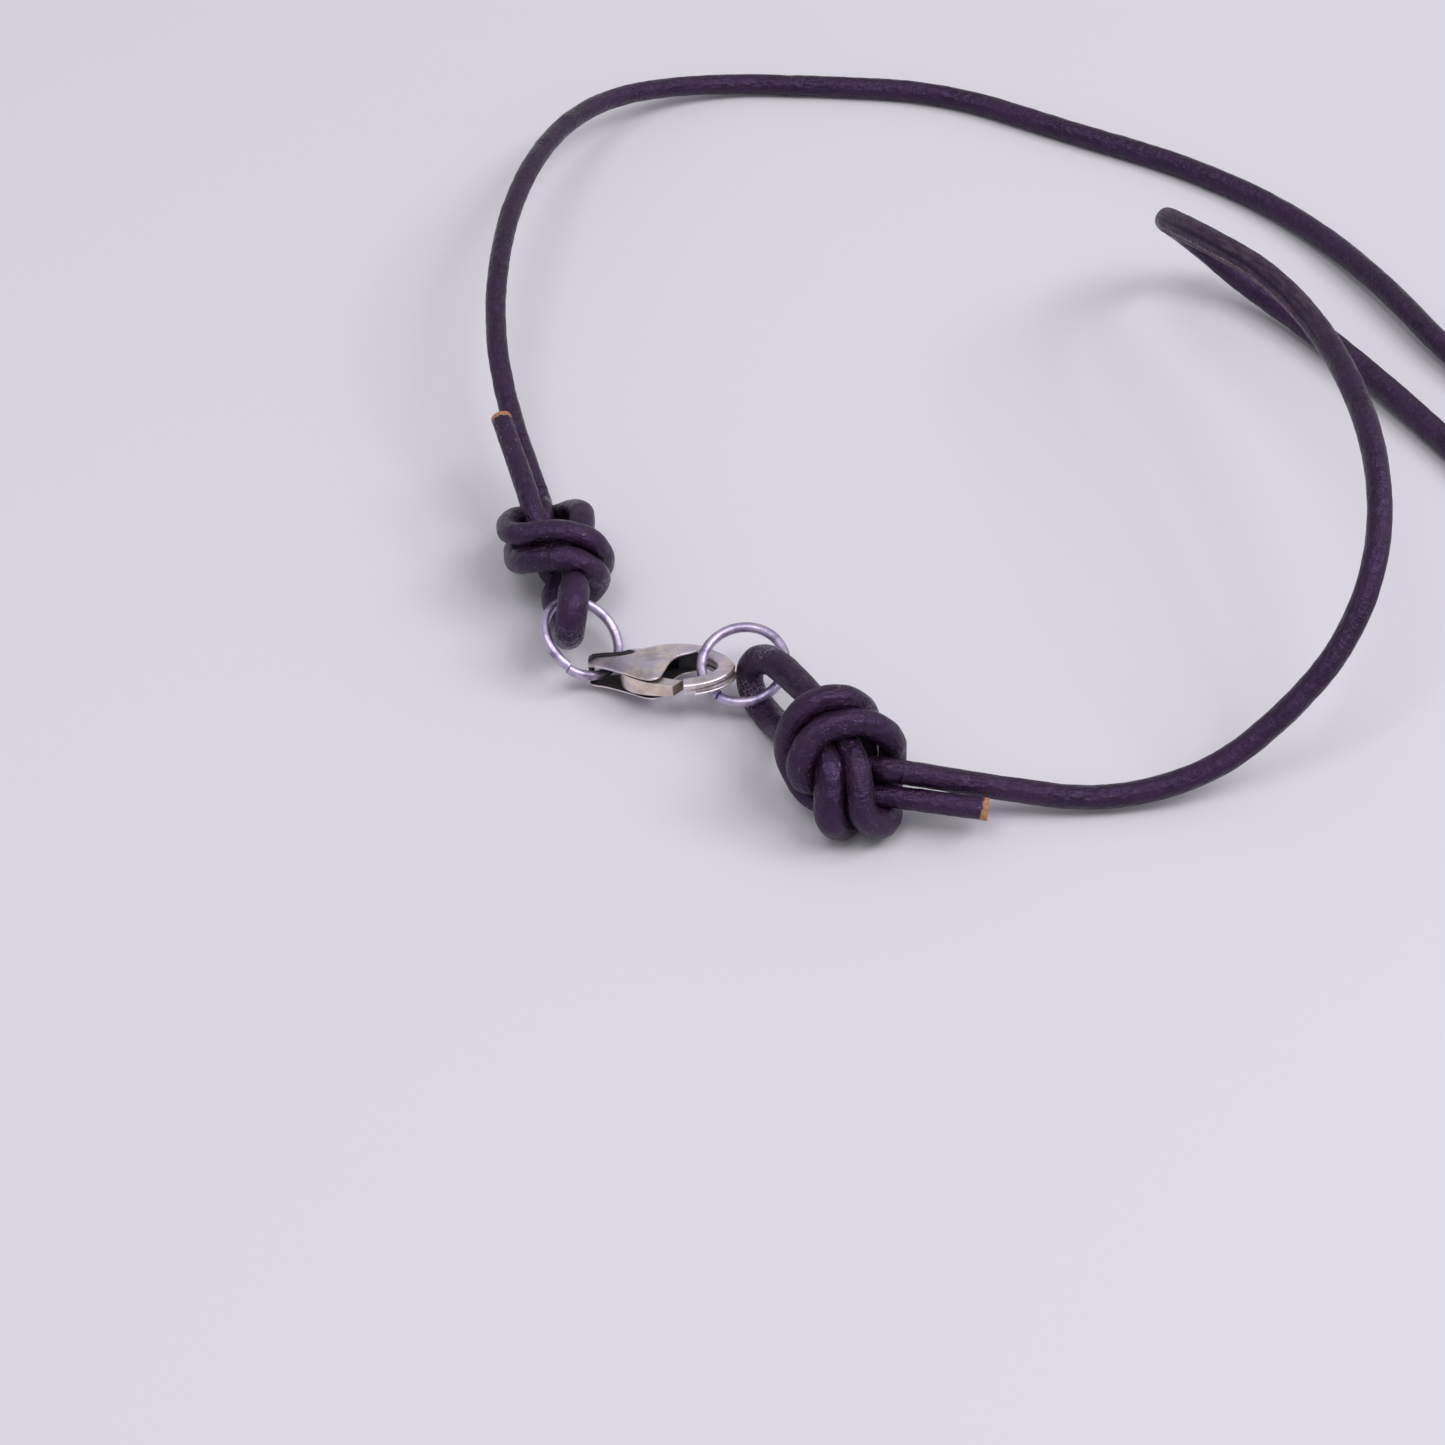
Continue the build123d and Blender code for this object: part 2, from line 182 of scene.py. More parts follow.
def leather(name, cut_end, wear_and_sheen, pinched=False, crackled=()):
    """Waxed aubergine leather, scuffed pale and crackled round the given places. The pale specks, more of
    them by the given share, are coloured violet so that they also carry a painted sheen, and a pinched cord
    gets painted light and painted shade along its fold.
    """
    constants = {"Specular IOR Level": 0.6, "Specular Tint": (0.66, 0.46, 1.0, 1)}
    material, root = shader(name, constants)
    along = root.node("ShaderNodeAttribute", {"attribute_name": "unrolled"}, output="Vector")
    place = root.node("ShaderNodeTexCoord", output="Object")
    patches = place.noise(320, 3)
    fibre = along.stretch(1, 1, 0.25).noise(2400, 4, 0.65)
    grain = along.stretch(1, 1, 0.6).cells(2600)
    fine = along.noise(5200, 3, 0.7)
    crease = along.stretch(0.5, 0.5, 1.5).noise(900, 5, 0.7, 0.8)
    dark = patches.ramp(0.35, 0.65).mix(*WAXED)
    colour = (fibre.ramp(0.45, 0.75) * 0.5).mix(dark, FIBRE)
    # Pale scuffed specks in random patches, worn leather coloured violet to carry a painted sheen as well.
    specks = along.stretch(1, 1, 0.45).noise(4700, 3, 0.75)
    speck_patches = place.noise(210, 2).ramp(0.6 - 0.25 * wear_and_sheen, 0.78 - 0.25 * wear_and_sheen)
    scuff_and_sheen = specks.ramp(0.635, 0.69) * speck_patches
    colour = (scuff_and_sheen * (0.2 + 0.5 * wear_and_sheen)).mix(colour, SCUFF_AND_SHEEN)
    for spot, reach in crackled:
        settings = {"operation": "DISTANCE"}
        distance = root.node("ShaderNodeVectorMath", settings, {0: place, 1: spot}, "Value")
        near = 1 - distance.ramp(reach * 0.4, reach)
        lines = 1 - along.stretch(1, 1, 0.8).cells(2700, "DISTANCE_TO_EDGE").ramp(0.02, 0.12)
        lines = lines * fine.ramp(0.42, 0.56) * near
        colour = (lines * 0.6).mix(colour, CRACKED)
    rough = 0.13 + 0.26 * patches.ramp(0.3, 0.7) + 0.2 * fine
    height = grain * 0.6 + fibre * 0.7 + fine * 0.35 + crease * 1.2
    run = root.node("ShaderNodeSeparateXYZ", inputs={0: along}, output=2)
    if cut_end:
        ragged = run + 0.0009 * along.noise(1300, 3, 0.7) - 0.00045
        raw = 1 - ragged.ramp(*CUT_REACH)
        tan = along.stretch(1, 1, 0.4).noise(2400, 4, 0.7).mix(*CUT_TAN)
        colour = raw.mix(colour, tan)
        rough = rough + raw * 0.35
    if pinched:
        side = root.node("ShaderNodeSeparateXYZ", inputs={0: along}, output=0)
        rise = root.node("ShaderNodeSeparateXYZ", inputs={0: along}, output=1)
        turn = rise.math("ARCTAN2", rise, side) + 0.25 * along.stretch(0, 0, 1).noise(160, 2)
        pinch = run.ramp(FOLD_FROM, FOLD_FROM + 0.006) * (1 - run.ramp(FOLD_TO - 0.008, FOLD_TO))
        groove = (1 - turn.apart(FOLD_TURN).ramp(0.0, 0.22)) * pinch
        edge = (1 - turn.apart(PALE_TURN).ramp(0.03, 0.14)) * pinch * fine.ramp(0.42, 0.6)
        # Painted light: a fibrous brownish-grey over the pinched stretch stands in for the light on the
        # turned tip.
        fold_lit = pinch * 0.7 * fibre.ramp(0.35, 0.7)
        colour = fold_lit.mix(colour, FOLD_LIT_TONE)
        # Painted shade: the groove along the fold is painted near black.
        colour = groove.mix(colour, FOLD_GROOVE_SHADE)
        colour = (edge * 0.8).mix(colour, FOLD_EDGE)
        rough = rough + pinch * 0.2
        height = height - groove * 2.5
    feed(material, {"Base Color": colour, "Roughness": rough, "Normal": height.bump(0.75, 0.0002)})
    return material


def strand_tree():
    """Geometry Nodes that draw a strand of leather or wire along a curve, thick as its points say."""
    tree = bpy.data.node_groups.new("strand", "GeometryNodeTree")
    tree.interface.new_socket("Geometry", in_out="OUTPUT", socket_type="NodeSocketGeometry")
    tree.interface.new_socket("Geometry", in_out="INPUT", socket_type="NodeSocketGeometry")
    for name, kind in (
        ("Diameter", "Float"), ("Sides", "Int"), ("Ring spacing", "Float"), ("Flatness", "Float"),
        ("Crease height", "Float"), ("Crease scale", "Float"), ("Finish", "Material"),
    ):
        tree.interface.new_socket(name, in_out="INPUT", socket_type="NodeSocket" + kind)
    root = Tone(tree)
    given = tree.nodes.new("NodeGroupInput").outputs
    size = {name: Tone(tree, given[name]) for name in given.keys() if name}

    def stored(shape, name, kind, value):
        inputs = {"Geometry": shape, "Name": name, "Value": value}
        return root.node("GeometryNodeStoreNamedAttribute", {"data_type": kind}, inputs)

    inputs = {"Curve": size["Geometry"], "Length": size["Ring spacing"]}
    rings = root.node("GeometryNodeResampleCurve", {"mode": "LENGTH"}, inputs)
    run = root.node("GeometryNodeSplineParameter", output="Length")
    rings = stored(rings, "run", "FLOAT", run)
    inputs = {"Resolution": size["Sides"], "Radius": size["Diameter"] * 0.5}
    outline = root.node("GeometryNodeCurvePrimitiveCircle", inputs=inputs)
    place = root.node("GeometryNodeInputPosition")
    inputs = {0: 1 + size["Flatness"] * 0.5, 1: 1 - size["Flatness"], 2: 1.0}
    wide = root.node("ShaderNodeCombineXYZ", inputs=inputs)
    flat = root.node("ShaderNodeVectorMath", {"operation": "MULTIPLY"}, {0: place, 1: wide})
    outline = root.node("GeometryNodeSetPosition", inputs={"Geometry": outline, "Position": flat})
    outline = stored(outline, "round", "FLOAT_VECTOR", place)
    thickness = root.node("GeometryNodeInputRadius")
    inputs = {"Curve": rings, "Profile Curve": outline, "Scale": thickness, "Fill Caps": True}
    tube = root.node("GeometryNodeCurveToMesh", inputs=inputs)
    around = root.node("GeometryNodeInputNamedAttribute", {"data_type": "FLOAT_VECTOR"}, {"Name": "round"})
    length = root.node("GeometryNodeInputNamedAttribute", {"data_type": "FLOAT"}, {"Name": "run"})
    lift = root.node("ShaderNodeCombineXYZ", inputs={0: 0.0, 1: 0.0, 2: length})
    unrolled = root.node("ShaderNodeVectorMath", {"operation": "ADD"}, {0: around, 1: lift})
    tube = stored(tube, "unrolled", "FLOAT_VECTOR", unrolled)
    waves = unrolled.noise(size["Crease scale"], 3.0, 0.55)
    swell = (waves - 0.5) * size["Crease height"]
    outward = root.node("GeometryNodeInputNormal")
    offset = root.node("ShaderNodeVectorMath", {"operation": "SCALE"}, {0: outward, "Scale": swell})
    tube = root.node("GeometryNodeSetPosition", inputs={"Geometry": tube, "Offset": offset})
    tube = root.node("GeometryNodeRealizeInstances", inputs={0: tube})
    tube = root.node("GeometryNodeSetMaterial", inputs={"Geometry": tube, "Material": size["Finish"]})
    last = tree.nodes.new("NodeGroupOutput")
    tree.links.new(tube.socket, last.inputs[0])
    return tree


STRAND = strand_tree()


def curve_through(name, points, kind):
    """Curve object on rows of x, y, z in metres and a thickness share, without any bevel."""
    data = bpy.data.curves.new(name, "CURVE")
    data.dimensions = "3D"
    data.resolution_u = 16
    spline = data.splines.new(kind)
    if kind == "NURBS":
        spline.points.add(len(points) - 1)
        for point, (x, y, z, thick) in zip(spline.points, points):
            point.co = (x, y, z, 1)
            point.radius = thick
        spline.order_u = 3
        spline.use_endpoint_u = True
    else:
        spline.bezier_points.add(len(points) - 1)
        for point, (x, y, z, thick) in zip(spline.bezier_points, points):
            point.co = (x, y, z)
            point.radius = thick
            point.handle_left_type = point.handle_right_type = "AUTO"
    made = bpy.data.objects.new(name, data)
    scene.collection.objects.link(made)
    return made


def flesh_out(route, name, sizes):
    """The strand that the nodes draw along a route, as a plain mesh object; the route is removed."""
    modifier = route.modifiers.new("strand", "NODES")
    modifier.node_group = STRAND
    for item in STRAND.interface.items_tree:
        if item.in_out == "INPUT" and item.name in sizes:
            modifier[item.identifier] = sizes[item.name]
    bpy.context.view_layer.update()
    depsgraph = bpy.context.evaluated_depsgraph_get()
    mesh = bpy.data.meshes.new_from_object(route.evaluated_get(depsgraph))
    bpy.data.objects.remove(route)
    mesh.name = name
    mesh.shade_smooth()
    piece = bpy.data.objects.new(name, mesh)
    scene.collection.objects.link(piece)
    return piece


cord_points = [(x * MM, y * MM, z * MM, thick) for x, y, z, thick in CORD_ROUTE]
cord_line = curve_through("cord_line", cord_points, "NURBS")
line_mesh = bpy.data.meshes.new_from_object(cord_line)
cord_finish = leather("cord_leather", cut_end=False, wear_and_sheen=0.1, pinched=True)
cord = flesh_out(cord_line, "loose_cord", {
    "Diameter": CORD_D, "Sides": 28, "Ring spacing": 0.28 * MM, "Flatness": 0.03,
    "Crease height": 0.16 * MM, "Crease scale": 700.0, "Finish": cord_finish,
})
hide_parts("leather_cord")
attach(cord, "necklace")

# The two knots.
# Each end of the leather is tied back on itself in a doubled overhand knot round a small standing
# loop, pulled hard so that the wraps flatten, and the tail is cut off square to its tan core.
VIEW_RIGHT = Vector((1, 0, 0))
VIEW_UP = Vector((0, math.sin(VIEW_TILT), math.cos(VIEW_TILT)))
VIEW_NEAR = Vector((0, -math.cos(VIEW_TILT), math.sin(VIEW_TILT)))
LEFT_STRAND = [  # right, up and toward the viewer from the knot's middle in cord diameters, and thickness
    (-2.43, 5.37, -3.5, 0.86), (-1.95, 4.1, -2.4, 0.86), (-1.5, 2.9, -1.45, 0.9),
    (-1.15, 1.9, -0.75, 0.9), (-0.9, 1.1, -0.4, 0.9), (-0.65, 0.35, -0.4, 0.95),
    (-0.3, -0.25, -0.65, 0.95), (0.25, -0.65, -1.0, 0.95), (0.95, -0.85, -1.3, 0.95),
    (1.6, -1.0, -0.9, 1), (1.9, -0.65, -0.05, 1), (1.75, -0.22, 0.7, 0.98),
    (1.35, 0.17, 1.24, 0.98), (0.5, 0.42, 1.42, 0.98), (-0.4, 0.45, 1.4, 0.98),
    (-1.3, 0.35, 1.1, 0.98), (-1.83, 0.45, 0.45, 0.98), (-1.95, 0.75, -0.35, 1.05),
    (-1.85, 1.0, -1.25, 1.05), (-1.6, 1.1, -2.2, 1.15), (-1.0, 1.12, -2.95, 1.15),
    (-0.2, 1.22, -3.15, 1.15), (0.45, 1.4, -2.7, 1.15), (0.82, 1.42, -1.85, 1.05),
    (1.0, 1.17, -0.85, 1.05), (1.0, 0.6, -0.03, 1.1), (0.88, 0.0, 0.4, 1.1),
    (0.84, -0.7, 0.66, 1.1), (0.8, -1.25, 0.8, 1.1), (0.82, -1.6, 1.8, 1.04),
    (0.82, -2.0, 2.95, 1.28), (0.78, -2.65, 3.65, 1.26), (0.68, -3.4, 3.4, 1.24),
    (0.57, -3.75, 2.45, 1.24), (0.38, -3.45, 1.4, 1.2), (0.12, -2.75, 0.6, 1.15),
    (-0.03, -2.1, 0.15, 1.15), (0.3, -1.5, -0.15, 1), (0.95, -0.78, -0.3, 1),
    (1.35, -0.12, -0.63, 1), (1.27, 0.23, -1.4, 1), (0.87, 0.35, -2.2, 1),
    (0.25, 0.25, -2.8, 1), (-0.55, 0.13, -2.87, 1), (-1.2, 0.08, -2.5, 1.05),
    (-1.62, -0.05, -1.6, 1.05), (-1.65, -0.3, -0.55, 1.05), (-1.47, -0.68, 0.4, 1.14),
    (-1.0, -0.68, 1.15, 1.14), (-0.2, -0.62, 1.55, 1.14), (0.7, -0.72, 1.72, 1.14),
    (1.4, -1.05, 1.4, 1.14), (1.7, -1.35, 0.7, 1.08), (1.5, -1.72, -0.1, 1.08),
    (1.15, -1.92, -0.85, 1.08), (0.4, -1.67, -1.45, 1), (-0.2, -1.2, -1.7, 1),
    (-0.5, -0.65, -1.7, 1), (-0.57, 0.0, -1.6, 0.95), (-0.6, 0.8, -1.5, 0.95),
    (-0.7, 1.5, -1.85, 0.95),
]
RIGHT_STRAND = [
    (5.45, -1.72, 0.5, 0.92), (4.0, -1.52, 0.4, 0.92), (2.6, -1.34, 0.3, 0.92),
    (1.4, -1.2, 0.15, 0.92), (0.4, -1.28, 0.05, 0.98), (-0.5, -1.42, -0.15, 0.98),
    (-1.3, -1.22, -0.6, 0.98), (-1.9, -0.35, -0.6, 1.05), (-2.22, 0.5, -0.05, 1.05),
    (-2.15, 1.25, 0.55, 1.05), (-1.75, 1.95, 1.05, 1.1), (-1.1, 2.4, 1.25, 1.1),
    (-0.3, 2.55, 1.1, 1.1), (0.35, 2.35, 0.6, 1.1), (0.75, 1.95, -0.1, 1.1),
    (0.85, 1.3, -0.8, 1.05), (0.8, 0.4, -1.15, 1.05), (0.75, -0.6, -1.15, 1.05),
    (0.6, -1.45, -1.1, 1.05), (0.2, -2.1, -0.7, 1.12), (-0.25, -2.4, 0.1, 1.12),
    (-0.58, -1.98, 0.85, 1.3), (-0.64, -1.1, 1.2, 1.32), (-0.66, -0.3, 1.2, 1.28),
    (-0.85, 0.32, 0.75, 1.24), (-1.2, 0.75, 0.0, 1.12), (-1.6, 1.0, -0.9, 1.12),
    (-1.9, 1.15, -2.05, 1.12), (-2.28, 1.33, -3.3, 1.2), (-2.62, 1.6, -4.3, 1.22),
    (-3.0, 2.02, -4.95, 1.2), (-3.42, 2.65, -5.4, 1.16), (-3.62, 3.35, -5.4, 1.12),
    (-3.46, 3.93, -4.85, 1.16), (-2.98, 4.08, -4.0, 1.22), (-2.42, 3.76, -3.1, 1.25),
    (-1.85, 3.22, -2.25, 1.22), (-1.3, 2.65, -1.5, 1.14), (-0.7, 1.9, -0.55, 1.08),
    (-0.25, 1.25, 0.15, 1.08), (0.15, 0.6, 0.8, 1.08), (0.4, -0.15, 1.28, 1.15),
    (0.5, -0.95, 1.34, 1.22), (0.62, -1.75, 1.15, 1.28), (1.1, -2.2, 0.6, 1.22),
    (1.55, -2.1, -0.25, 1.22), (1.7, -1.55, -0.9, 1.12), (1.7, -0.9, -1.15, 1.12),
    (1.8, -0.2, -1.1, 1.12), (1.85, 0.5, -0.7, 1.12), (1.75, 0.95, 0.05, 1.08),
    (1.3, 1.35, 0.75, 1.12), (0.6, 1.6, 1.2, 1.12), (-0.2, 1.55, 1.45, 1.12),
    (-1.05, 1.2, 1.55, 1.12), (-1.6, 0.5, 1.4, 1.12), (-1.72, -0.25, 1.05, 1.12),
    (-1.36, -0.64, 0.5, 1.05), (-0.6, -0.42, 0.0, 1.05), (0.2, -0.25, 0.1, 1),
    (1.1, -0.15, 0.22, 1),
]
KNOT_LEFT_AT = Vector((-13.95, 8.2, 5.42)) * MM
KNOT_RIGHT_AT = Vector((8.9, -16.8, 5.0)) * MM
KNOT_STRAND_D = CORD_D * 0.97
KNOT_ENDS = [  # metres past the loose cord's end, inside it, and thickness as a share of the cord's there
    (-1.2 * MM, 1.01), (0.0, 0.985), (1.0 * MM, 0.9),
]


def knot(name, node, at, strand, cord_end, cord_next, crackled):
    """Knot of one strand from its cut tail to where it goes on as the loose cord."""
    rows = []
    for x, y, z, thick in strand:
        place = at + (VIEW_RIGHT * x + VIEW_UP * y + VIEW_NEAR * z) * CORD_D
        rows.append((*place, thick))
    end = Vector(cord_end[:3])
    end_thick = cord_end[3]
    onward = (Vector(cord_next[:3]) - end).normalized()
    for past, share in KNOT_ENDS:
        rows.append((*(end + onward * past), end_thick * share))
    finish = leather(name + "_leather", cut_end=True, wear_and_sheen=0.8, crackled=crackled)
    piece = flesh_out(curve_through(name + "_line", rows, "BEZIER"), name, {
        "Diameter": KNOT_STRAND_D, "Sides": 32, "Ring spacing": 0.16 * MM, "Flatness": 0.04,
        "Crease height": 0.12 * MM, "Crease scale": 1100.0, "Finish": finish,
    })
    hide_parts(node)
    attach(piece, "necklace")


CRACKS_LEFT = [  # where the leather is bent hardest, and how far the crackle reaches, in metres
    ((-0.01275, -0.0009, 0.00435), 0.0026), ((-0.0105, 0.0053, 0.00445), 0.0018),
]
CRACKS_RIGHT = [
    ((0.00206, -0.00535, 0.00131), 0.0026), ((0.0033, -0.0056, 0.0062), 0.0016),
]
left_end, left_next = cord_points[:2]
right_next, right_end = cord_points[-2:]
knot("left_knot", "knot_left", KNOT_LEFT_AT, LEFT_STRAND, left_end, left_next, CRACKS_LEFT)
knot("right_knot", "knot_right", KNOT_RIGHT_AT, RIGHT_STRAND, right_end, right_next, CRACKS_RIGHT)

# The two jump rings.
# Round silver wire of 0.8 mm wound and sawn into open rings. Each is twisted shut by hand, so
# the two ends of the wire don't quite meet in line.
RING_D = 7.5 * MM
WIRE_D = 0.8 * MM
RING_STEPS = 40
RING_SEAM = 0.035           # the saw's cut, in radians of the ring
RING_BEND = 1.5             # how much of the twist that shuts a ring lies near its seam
RIM_WEAR_AND_GLINT = (0.93, 0.9, 0.95, 1)           # where the metal is worn bright, with a painted highlight on its rims


def silver(name, tint, warm, dark, wear, shade_and_stain=(0.02, 0.02, 0.026, 1)):
    """Worn silver with fine scratches, dark where it is tarnished, painted the given dark colour in its
    hollows as tarnish and painted shade, and painted bright on its rims as wear and a painted highlight.
    """
    material, root = shader(name, {"Metallic": 1.0, "IOR": 1.6})
    place = root.node("ShaderNodeTexCoord", output="Object")
    cloud = place.noise(700, 4, 0.6)
    hairs = place.stretch(1, 0.12, 1).noise(9000, 2, 0.7)
    cross = place.stretch(0.15, 1, 1).noise(7000, 2, 0.7)
    pits = place.noise(2600, 5, 0.7)
    toned = place.noise(420, 3, 0.6).ramp(0.4, 0.6).mix(tint, warm)
    stained = (cloud.ramp(0.42, 0.72) * wear).mix(toned, dark)
    hollow = root.node("ShaderNodeAttribute", {"attribute_name": "hollow"}, output="Fac")
    # Painted shade and tarnish: the hollows and the inside of the jaw take the dark colour.
    stained = hollow.mix(stained, shade_and_stain)
    edge = root.node("ShaderNodeAttribute", {"attribute_name": "edge"}, output="Fac")
    # Rims painted bright: worn metal and a painted highlight.
    stained = (edge * (0.55 + 0.6 * hairs)).mix(stained, RIM_WEAR_AND_GLINT)
    rough = 0.29 + 0.16 * cloud + 0.14 * hairs + 0.25 * hollow - 0.08 * edge
    dents = place.noise(1100, 2, 0.4)
    height = hairs * 0.4 + cross * 0.3 + pits * 0.6 + dents * 2.0
    feed(material, {"Base Color": stained, "Roughness": rough, "Normal": height.bump(0.55, 0.00005)})
    return material


RING_TONES = ((0.54, 0.47, 0.68, 1), (0.58, 0.5, 0.64, 1), (0.15, 0.12, 0.22, 1))      # cool, warm, dark
ring_finish = silver("ring_silver", *RING_TONES, 0.75)


def jump_ring(name, node, at, lean, seam_turn, step):
    """Ring of wire; step is how far its two ends stand apart along the ring's axis."""
    axis = (VIEW_RIGHT * lean[0] + VIEW_UP * lean[1] + VIEW_NEAR * lean[2]).normalized()
    across = (VIEW_RIGHT - axis * VIEW_RIGHT.dot(axis)).normalized()
    other = axis.cross(across)
    radius = (RING_D - WIRE_D) / 2
    rows = []
    for i in range(RING_STEPS + 1):
        share = i / RING_STEPS
        turn = math.radians(seam_turn) + RING_SEAM / 2 + share * (2 * math.pi - RING_SEAM)
        offset = step * (share - 0.5) * abs(2 * share - 1) ** RING_BEND
        place = at + (across * math.cos(turn) + other * math.sin(turn)) * radius + axis * offset
        rows.append((*place, 1.0))
    piece = flesh_out(curve_through(name + "_line", rows, "BEZIER"), name, {
        "Diameter": WIRE_D, "Sides": 24, "Ring spacing": 0.15 * MM, "Flatness": 0.02,
        "Crease height": 0.012 * MM, "Crease scale": 1500.0, "Finish": ring_finish,
    })
    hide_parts(node)
    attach(piece, "necklace")


RING_LEFT_AT = Vector((-11.73, -0.52, 3.15)) * MM
RING_LEFT_LEAN = (0.69, 0.6, 1.0)       # the ring's axis: right, up and toward the viewer
RING_RIGHT_AT = Vector((1.15, -3.9, 3.42)) * MM
RING_RIGHT_LEAN = (-0.14, 0.53, 1.0)
jump_ring("left_ring", "ring_left", RING_LEFT_AT, RING_LEFT_LEAN, 250, 0.3 * MM)
jump_ring("right_ring", "ring_right", RING_RIGHT_AT, RING_RIGHT_LEAN, 235, 0.25 * MM)

# The lobster clasp.
# Cast in silver in one piece: two cheeks joined along the back, a hook that turns over at the
# end, and a post at the tail for the ring. The casting is tumbled. Its hollows are painted dark as
# tarnish and painted shade, the inside of its jaw is painted black as painted shade, and its rims
# are painted bright as wear and a painted highlight.
CLASP_TAIL_AT = Vector((-11.2, -1.89, 1.1)) * MM
CLASP = (
    Matrix.Translation(CLASP_TAIL_AT)
    @ Matrix.Rotation(math.radians(-10.6), 4, "Z")
    @ Matrix.Rotation(math.radians(-10.0), 4, "Y")
    @ Matrix.Rotation(math.radians(-17.0), 4, "X")
    @ Matrix.Scale(MM, 4)
)
CHANNEL = 1.5               # open height between the cheeks, in the clasp's own millimetres
CHEEK_T = 0.4
CHEEK_EDGE = [  # x from the tail toward the hook, y toward the back
    (0.28, -0.62), (0.62, -0.08), (1.4, 0.2), (2.7, 0.62), (3.8, 1.52), (5.2, 2.35), (6.6, 2.7),
    (8.0, 2.6), (8.8, 2.25), (8.95, 1.6), (8.3, 1.0), (7.5, 0.5), (7.05, -0.5), (6.95, -2.0),
    (6.85, -3.4), (6.3, -3.95), (5.4, -3.75), (4.3, -3.1), (3.1, -2.45), (1.9, -1.85), (0.8, -1.5),
    (0.36, -1.15),
]
SPINE_BACK = [(2.7, 0.57), (3.8, 1.49), (5.2, 2.32), (6.6, 2.67), (8.0, 2.57), (8.7, 2.3)]
SPINE_T = 0.6
HOOK = [  # x, y, half width, lowest and highest z
    (7.0, 2.0, 0.62, -1.1, 1.1), (8.2, 2.02, 0.66, -1.1, 1.08), (9.2, 1.9, 0.68, -0.75, 0.72),
    (9.9, 1.6, 0.68, -0.55, 0.5), (10.5, 1.15, 0.68, -0.5, 0.46), (11.1, 0.45, 0.68, -0.5, 0.5),
    (11.5, -0.4, 0.73, -0.5, 0.56), (11.58, -1.15, 0.75, -0.5, 0.57), (11.25, -2.05, 0.77, -0.48, 0.56),
    (10.52, -2.85, 0.77, -0.46, 0.54), (9.55, -3.33, 0.75, -0.46, 0.53), (8.74, -3.56, 0.7, -0.48, 0.52),
]
HOOK_GROOVE = 0.24          # depth of the channel round the outside of the hook
GROOVE_FADE = 12            # stations over which it runs out toward the hook's tip, to this share
GROOVE_LEAST = 0.15
GROOVE_AT = -0.15           # its middle and its width, in half heights of the bar
GROOVE_WIDE = 0.42
LEDGE_IN = 0.12             # the inner rim along the hook's lower edge
LEDGE_WIDER = 0.14
LEDGE_T = 0.26
POST_AT = (0.48, -0.68)
POST_R = 0.27
SEATED = 0.1                # how far the spine and the post run on into the cheeks
TAIL_HOLLOW = [(0.65, -0.55), (1.0, -0.35), (1.7, -0.2), (2.6, 0.12), (3.4, 0.62)]
TAIL_HOLLOW_R = 0.5
TAIL_HOLLOW_DEPTH = 0.1
TAIL_TARNISH_AND_SHADE = 0.94           # how black it is painted, as tarnish and painted shade, as far along as this x
TAIL_DARK_TO_X = 3.2
DOME = 0.26                 # how far the cheeks fall away at their rims, over a band this wide
DOME_BAND = 1.1
DOME_TO_X = 9.0
FLAT_FROM_Y = -0.95         # the upper cheek's tail isn't domed behind a slanted line
FLAT_SLANT = 0.3
RAISE = 0.26                # how far the upper cheek rises toward its tail, from this x
RAISE_FROM_X = 4.2
LIP = 0.18                  # how far the tail's lip hangs down, this side of LIP_X
LIP_X = 0.72
VOXEL = 0.05
BAR_SIDES = 32
BAR_SQUARE = 4.5            # 2 makes a bar round, and more makes it square
HOLLOW_SPREAD = 14          # rounds of smoothing that a hollow is measured against
HOLLOW_SUNK = 0.04          # how far in a hollow is wholly black
RIM_PROUD = 0.55            # how far out a rim starts to be painted bright, as wear and painted highlight, as a share of HOLLOW_SUNK
JAW_PAINTED_SHADE = 0.92            # how black the jaw is painted inside, as painted shade, as far along as this x
JAW_TO_X = 9.2


def smooth_through(rows, steps, closed=False):
    """Rows of numbers run through by a smooth line, with more rows between them."""
    rows = [np.array(row, float) for row in rows]
    count = len(rows)
    made = []
    for i in range(count if closed else count - 1):
        if closed:
            before, a, b, after = (rows[(i + k) % count] for k in (-1, 0, 1, 2))
        else:
            a, b = rows[i], rows[i + 1]
            before = rows[i - 1] if i else 2 * a - b
            after = rows[i + 2] if i + 2 < count else 2 * b - a
        for k in range(steps):
            t = k / steps
            made.append(0.5 * (2 * a + (b - before) * t + (2 * before - 5 * a + 4 * b - after) * t * t
                               + (3 * a - before - 3 * b + after) * t ** 3))
    if not closed:
        made.append(rows[-1])
    return made


def plate(solid, outline, low, high):
    """Flat plate between two heights, in the clasp's own millimetres."""
    bottom = [solid.verts.new((x, y, low)) for x, y in outline]
    top = [solid.verts.new((x, y, high)) for x, y in outline]
    solid.faces.new(list(reversed(bottom)))
    solid.faces.new(top)
    for i in range(len(outline)):
        j = (i + 1) % len(outline)
        solid.faces.new((bottom[i], bottom[j], top[j], top[i]))


def pin_outline(at, radius, count):
    """Outline of a round post or rivet."""
    turns = np.linspace(0, 2 * math.pi, count, endpoint=False)
    return [(at[0] + radius * math.cos(turn), at[1] + radius * math.sin(turn)) for turn in turns]


